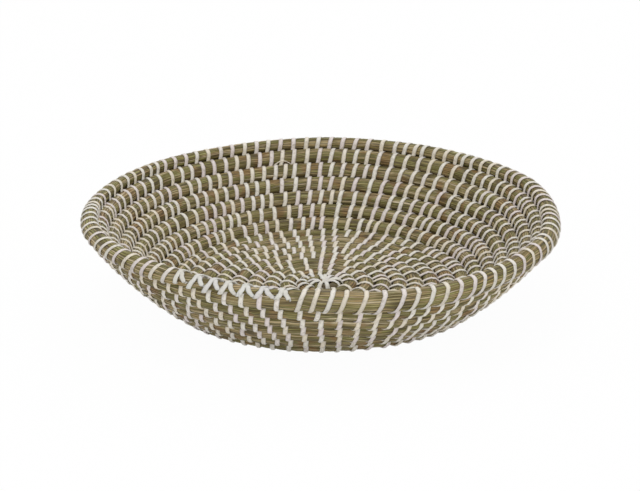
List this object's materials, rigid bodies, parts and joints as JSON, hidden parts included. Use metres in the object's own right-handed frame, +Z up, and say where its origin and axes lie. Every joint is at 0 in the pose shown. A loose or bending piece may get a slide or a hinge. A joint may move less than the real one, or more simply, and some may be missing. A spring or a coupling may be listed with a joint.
{
  "type": "coiled grass bowl",
  "caption": "Shallow round bowl of coiled grass, sewn with flat white cord, with a flat floor, a flaring wall and a thick whipped rim.",
  "frame": {"origin": "middle of the underside, on the surface that the bowl stands on", "axes": "+Z up out of the bowl's mouth; -Y towards the side that faces the camera, where the row of crosses lies just left of the front; +X to the right of it"},
  "size_m": [0.3488, 0.346, 0.0779],
  "materials": {
    "floor_grass": "matte",
    "lower_wall_grass": "matte",
    "upper_wall_grass": "matte",
    "rim_grass": "matte",
    "rim_cord": "satin",
    "crossing_cord": "satin",
    "star_cord": "satin"
  },
  "bodies": {
    "root": {"floor_coil": "floor_grass", "lower_wall_coil": "lower_wall_grass", "upper_wall_coil": "upper_wall_grass", "rim_coil": "rim_grass", "rim_whipping": "rim_cord", "cross_lashing": "crossing_cord", "start_stitches": "star_cord"}
  },
  "joints": []
}
